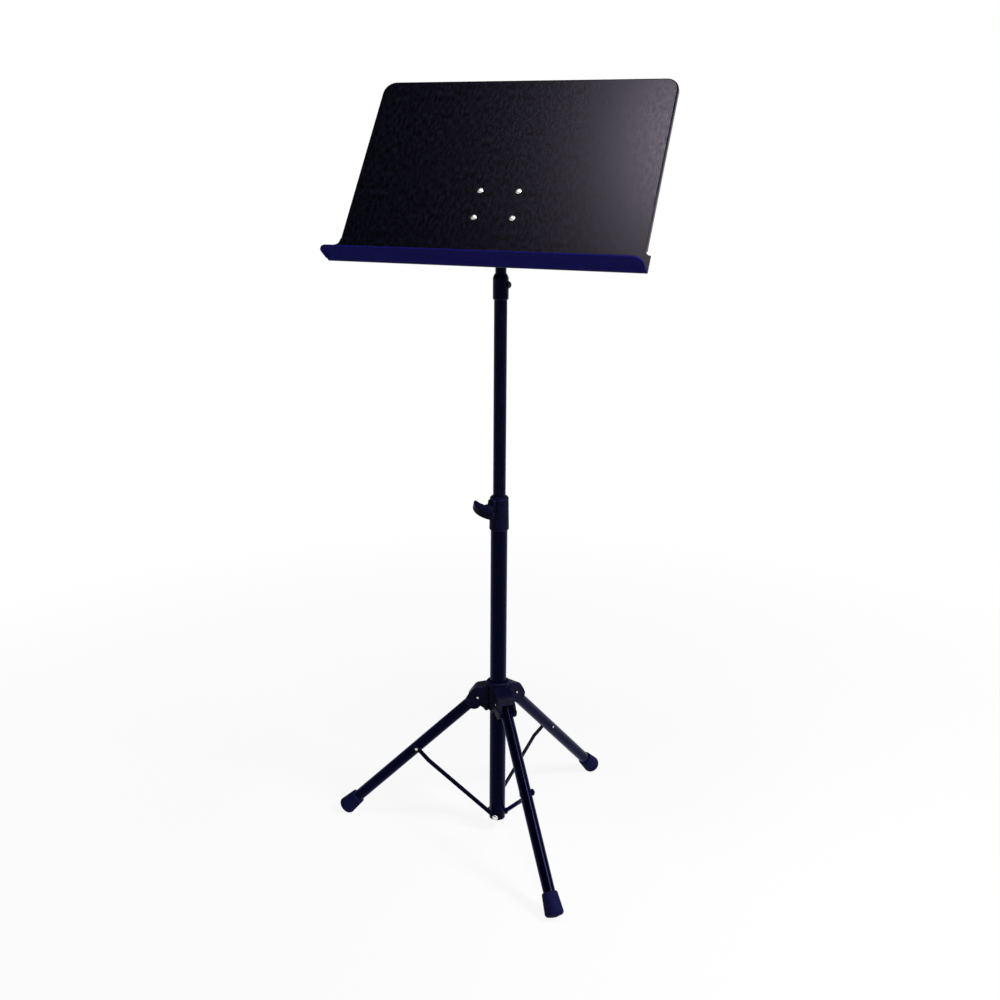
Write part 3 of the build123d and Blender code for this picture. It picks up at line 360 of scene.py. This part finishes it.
# Foot of the tube: distance from the mast's axis and height
FOOT_PIN, FOOT_HEAD = (16.7, 27.5), (4.5, 2.0)
# Desk: spacing across and up the panel, and the thickness of panel and bracket together
DESK_SPAN, DESK_RISE, DESK_GRIP = 56.4, 43.2, 3.7
DESK_HEAD, DESK_TAIL = (4.2, 1.8), (3.4, 1.3)
SHANK_R = 2.3
# A head's form: sides and rings of its mesh, its rim's height and its flat top's radius as shares
HEAD_SIDES, HEAD_RINGS = 32, 8
RIM_SHARE, STRUCK_SHARE = 0.22, 0.3


def rivet_tree():
    """Geometry Nodes: on every point a button head, struck flat on top, and its shank behind it.
    The attribute crown keeps each point's height on its head, from 0 to 1."""
    tree = bpy.data.node_groups.new("rivets", "GeometryNodeTree")
    for name, kind in (("Points", "Geometry"), ("Sides", "Int"), ("Rings", "Int"), ("Rim", "Float"),
                       ("Struck", "Float"), ("Finish", "Material")):
        tree.interface.new_socket(name, in_out="INPUT", socket_type="NodeSocket" + kind)
    tree.interface.new_socket("Rivets", in_out="OUTPUT", socket_type="NodeSocketGeometry")
    given = add(tree, "NodeGroupInput").outputs
    axis, head_size, shank_size = (
        add(tree, "GeometryNodeInputNamedAttribute", {"Name": name}, data_type="FLOAT_VECTOR")
        .outputs["Attribute"] for name in ("axis", "head", "shank"))
    blank = add(tree, "GeometryNodeMeshCylinder", {
        "Vertices": given["Sides"], "Fill Segments": given["Rings"], "Radius": 1.0, "Depth": 1.0})
    place = add(tree, "GeometryNodeInputPosition").outputs["Position"]
    parts = add(tree, "ShaderNodeSeparateXYZ", {"Vector": place}).outputs
    across = add(tree, "ShaderNodeVectorMath", {0: place, 1: (1, 1, 0)}, operation="MULTIPLY")
    from_axis = add(tree, "ShaderNodeVectorMath", {0: across.outputs["Vector"]}, operation="LENGTH")
    rise = add(tree, "ShaderNodeMapRange", {
        "Value": from_axis.outputs["Value"], "From Min": 1.0, "From Max": given["Struck"],
        "To Min": given["Rim"], "To Max": 1.0}, interpolation_type="SMOOTHSTEP")
    upper = add(tree, "FunctionNodeCompare", {"A": parts["Z"], "B": 0.0}, operation="GREATER_THAN")
    height = add(tree, "ShaderNodeMath", {
        0: upper.outputs["Result"], 1: rise.outputs["Result"]}, operation="MULTIPLY")
    formed = add(tree, "ShaderNodeCombineXYZ", {
        "X": parts["X"], "Y": parts["Y"], "Z": height.outputs["Value"]})
    marked = add(tree, "GeometryNodeStoreNamedAttribute", {
        "Geometry": blank.outputs["Mesh"], "Name": "crown", "Value": height.outputs["Value"]},
        data_type="FLOAT", domain="POINT")
    head = add(tree, "GeometryNodeSetPosition", {
        "Geometry": marked.outputs["Geometry"], "Position": formed.outputs["Vector"]})
    rod = add(tree, "GeometryNodeMeshCylinder", {
        "Vertices": given["Sides"], "Radius": 1.0, "Depth": 1.0})
    behind = add(tree, "GeometryNodeTransform", {
        "Geometry": rod.outputs["Mesh"], "Translation": (0, 0, -0.5)})
    turn = add(tree, "FunctionNodeAlignRotationToVector", {"Vector": axis}, axis="Z")
    heads = add(tree, "GeometryNodeInstanceOnPoints", {
        "Points": given["Points"], "Instance": head.outputs["Geometry"],
        "Rotation": turn.outputs["Rotation"], "Scale": head_size})
    shanks = add(tree, "GeometryNodeInstanceOnPoints", {
        "Points": given["Points"], "Instance": behind.outputs["Geometry"],
        "Rotation": turn.outputs["Rotation"], "Scale": shank_size})
    both = add(tree, "GeometryNodeJoinGeometry", {"Geometry": heads.outputs["Instances"]})
    tree.links.new(shanks.outputs["Instances"], both.inputs["Geometry"])
    real = add(tree, "GeometryNodeRealizeInstances", {"Geometry": both.outputs["Geometry"]})
    painted = add(tree, "GeometryNodeSetMaterial", {
        "Geometry": real.outputs["Geometry"], "Material": given["Finish"]})
    add(tree, "NodeGroupOutput", {"Rivets": painted.outputs["Geometry"]})
    return tree


def rivets(tree, node, body, finish, ends):
    """One mesh of rivets for a body. Each end has a place, an outward axis, a radius and height
    of head and a length of shank, in millimetres."""
    mesh = bpy.data.meshes.new(node + "_places")
    mesh.from_pydata([Vector(end[0]) * MM for end in ends], [], [])
    fields = {name: mesh.attributes.new(name, "FLOAT_VECTOR", "POINT")
              for name in ("axis", "head", "shank")}
    for number, (_, axis, (radius, height), length) in enumerate(ends):
        fields["axis"].data[number].vector = axis
        fields["head"].data[number].vector = (radius * MM, radius * MM, height * MM)
        fields["shank"].data[number].vector = (SHANK_R * MM, SHANK_R * MM, length * MM)
    places = bpy.data.objects.new(node + "_places", mesh)
    bpy.context.scene.collection.objects.link(places)
    modifier = places.modifiers.new("rivets", "NODES")
    modifier.node_group = tree
    sizes = {"Sides": HEAD_SIDES, "Rings": HEAD_RINGS, "Rim": RIM_SHARE, "Struck": STRUCK_SHARE,
             "Finish": finish}
    for socket in tree.interface.items_tree:
        if socket.name in sizes:
            modifier[socket.identifier] = sizes[socket.name]
    seen = places.evaluated_get(bpy.context.evaluated_depsgraph_get())
    solid = bpy.data.meshes.new_from_object(seen)
    bpy.data.objects.remove(places)
    for face in solid.polygons:
        face.use_smooth = True
    piece = bpy.data.objects.new(node + "_struck", solid)
    bpy.context.scene.collection.objects.link(piece)
    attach(piece, body)
    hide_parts(node)


def all_rivets():
    """Rivets of the hub, the braces, the foot of the tube and the desk."""
    tree = rivet_tree()
    bright, painted = finishes["bright_rivet"], painted_rivet()
    pivots, feet = [], []
    for number, azimuth in enumerate(LEG_AZIMUTHS, start=1):
        turn = Matrix.Rotation(math.radians(azimuth), 3, "Z")
        across = turn @ Vector((0, 1, 0))
        radius, half, height = PIVOT_PLACE
        for side in (-1, 1):
            spot = turn @ Vector((radius, side * half, height))
            pivots.append((spot, side * across, PIVOT_HEAD, half))
        out, up = BRACE_PIN
        rivets(tree, f"brace_rivet_{number}", f"leg_{number}", painted, [
            (turn @ Vector((out, BRACE_HEAD_AT, up)), across, BRACE_HEAD, BRACE_HEAD_AT),
            (turn @ Vector((out, BRACE_TAIL_AT, up)), -across, BRACE_TAIL, -BRACE_TAIL_AT)])
        reach, rise = FOOT_PIN
        feet.append((across * reach + Vector((0, 0, rise)), across, FOOT_HEAD, reach / 2))
    rivets(tree, "leg_pivot_pins", "slider", painted, pivots)
    rivets(tree, "plug_rivets", "mast", bright, feet)
    back = Matrix.Rotation(DESK_TILT, 3, "X").transposed()
    inward = back @ Vector((0, 1, 0))
    ends = []
    for side in (-1, 1):
        for row in (-1, 1):
            spot = Vector((side * DESK_SPAN / 2, -PIVOT_ON_DESK.y / MM, row * DESK_RISE / 2))
            front = back @ spot + TILT_PIVOT / MM
            ends.append((front, -inward, DESK_HEAD, DESK_GRIP / 2))
            ends.append((front + inward * DESK_GRIP, inward, DESK_TAIL, DESK_GRIP / 2))
    rivets(tree, "desk_rivets", "desk", bright, ends)


# Floor, in metres: its width, and the distances between which its shadow fades to plain white.
# Near the mast the white's share is SHADE_WHITE, and the rest is lit paint that takes the shadow.
FLOOR_WIDTH = 60
SHADE_NEAR, SHADE_FAR, SHADE_WHITE = 0.5, 1.6, 0.9
# Surround: its light low down and overhead, the rise between which that changes, and the rise
# between which the white wall ends in reflections. A rise is the sine of the angle above level.
HORIZON_LIGHT, CEILING_LIGHT = 0.35, 0.012
CEILING_FROM, CEILING_TO = 0.15, 0.5
WALL_FROM, WALL_TO = 0.05, 0.25


def shown_rays(tree):
    """Light Path's camera rays, and its mirrored and see-through rays together."""
    path = add(tree, "ShaderNodeLightPath").outputs
    mirrored = add(tree, "ShaderNodeMath", {
        0: path["Is Glossy Ray"], 1: path["Is Transmission Ray"]}, operation="MAXIMUM")
    return path["Is Camera Ray"], mirrored.outputs["Value"]


def studio():
    """White floor and white surround with a dim ceiling, as in a small studio. The camera sees both
    white, reflections see the floor and the low wall white, and the floor keeps a faint shadow."""
    bpy.ops.mesh.primitive_plane_add(size=FLOOR_WIDTH)
    floor = bpy.context.object
    floor.name = "floor"
    material, tree, place = new_material("white_floor")
    direct, mirrored = shown_rays(tree)
    shown = add(tree, "ShaderNodeMath", {0: direct, 1: mirrored}, operation="MAXIMUM")
    away = add(tree, "ShaderNodeVectorMath", {0: place}, operation="LENGTH")
    fade = add(tree, "ShaderNodeMapRange", {
        "Value": away.outputs["Value"], "From Min": SHADE_NEAR, "From Max": SHADE_FAR,
        "To Min": SHADE_WHITE, "To Max": 1.0})
    share = add(tree, "ShaderNodeMath", {
        0: shown.outputs["Value"], 1: fade.outputs["Result"]}, operation="MULTIPLY")
    paint = add(tree, "ShaderNodeBsdfDiffuse", {"Color": linear("#cfcfcf")})
    white = add(tree, "ShaderNodeEmission", {"Color": (1, 1, 1, 1), "Strength": 1.0})
    mixed = add(tree, "ShaderNodeMixShader", {
        0: share.outputs[0], 1: paint.outputs[0], 2: white.outputs[0]})
    add(tree, "ShaderNodeOutputMaterial", {"Surface": mixed.outputs[0]})
    floor.data.materials.append(material)
    world = bpy.data.worlds.new("studio")
    bpy.context.scene.world = world
    world.use_nodes = True
    tree = world.node_tree
    tree.nodes.clear()
    direct, mirrored = shown_rays(tree)
    place = add(tree, "ShaderNodeTexCoord").outputs["Generated"]
    rise = add(tree, "ShaderNodeSeparateXYZ", {"Vector": place})
    ceiling = add(tree, "ShaderNodeMapRange", {
        "Value": rise.outputs["Z"], "From Min": CEILING_FROM, "From Max": CEILING_TO,
        "To Min": HORIZON_LIGHT, "To Max": CEILING_LIGHT})
    wall = add(tree, "ShaderNodeMapRange", {
        "Value": rise.outputs["Z"], "From Min": WALL_FROM, "From Max": WALL_TO})
    low = add(tree, "ShaderNodeMath", {
        0: mirrored, 1: wall.outputs["Result"]}, operation="SUBTRACT")
    behind = add(tree, "ShaderNodeMath", {0: direct, 1: low.outputs["Value"]}, operation="MAXIMUM")
    shown = add(tree, "ShaderNodeMath", {
        0: ceiling.outputs["Result"], 1: behind.outputs["Value"]}, operation="MAXIMUM")
    surround = add(tree, "ShaderNodeBackground", {
        "Color": (1, 1, 1, 1), "Strength": shown.outputs["Value"]})
    add(tree, "ShaderNodeOutputWorld", {"Surface": surround.outputs[0]})


# Lamps: place, target, width and height in metres, power in watts
LAMPS = {
    "desk_softbox": ((0.05, -0.50, 2.6), (0.15, -0.02, 1.03), (0.5, 0.35), 23),
    "right_softbox": ((1.45, -0.25, 1.58), (0.1, -0.15, 0.1), (0.5, 0.7), 50),
    "rear_strip": ((1.1, 1.5, 1.2), (0, 0, 0.5), (0.3, 1.2), 2),
    "left_fill": ((-2.2, -1.0, 1.2), (0, 0, 0.6), (1.2, 1.2), 3),
}


def lamp(name, place, target, size, power):
    """Soft rectangular lamp that the camera doesn't see."""
    data = bpy.data.lights.new(name, "AREA")
    data.shape = "RECTANGLE"
    data.size, data.size_y = size
    data.energy = power
    lamp_object = bpy.data.objects.new(name, data)
    lamp_object.location = place
    beam = Vector(target) - Vector(place)
    lamp_object.rotation_euler = beam.to_track_quat("-Z", "Y").to_euler()
    lamp_object.visible_camera = False
    bpy.context.scene.collection.objects.link(lamp_object)


# Camera: lens and sensor in millimetres, shift in frames, place in metres, turn in degrees
LENS, SENSOR = 42.55, 36.0
SHIFT = (-0.0005, 0.0005)
CAMERA_PLACE = (0.5877, -1.5887, 1.0487)
HEADING, PITCH, ROLL = 20.24, 16.31, 0.41


def photo_camera():
    """Camera at the photograph's place, fitted on the desk, the mast and the feet."""
    data = bpy.data.cameras.new("photo_camera")
    data.lens = LENS
    data.sensor_width = SENSOR
    data.shift_x, data.shift_y = SHIFT
    camera = bpy.data.objects.new("photo_camera", data)
    heading, pitch, roll = (math.radians(angle) for angle in (HEADING, PITCH, ROLL))
    right = Vector((math.cos(heading), math.sin(heading), 0))
    ahead = Vector((-math.sin(heading) * math.cos(pitch), math.cos(heading) * math.cos(pitch),
                    -math.sin(pitch)))
    up = right.cross(ahead)
    side = math.cos(roll) * right + math.sin(roll) * up
    top = math.cos(roll) * up - math.sin(roll) * right
    turn = Matrix((side, top, -ahead)).transposed().to_4x4()
    camera.matrix_world = Matrix.Translation(CAMERA_PLACE) @ turn
    bpy.context.scene.collection.objects.link(camera)
    bpy.context.scene.camera = camera


all_rivets()
studio()
for name, settings in LAMPS.items():
    lamp(name, *settings)
photo_camera()
bpy.context.scene.view_settings.view_transform = "Standard"
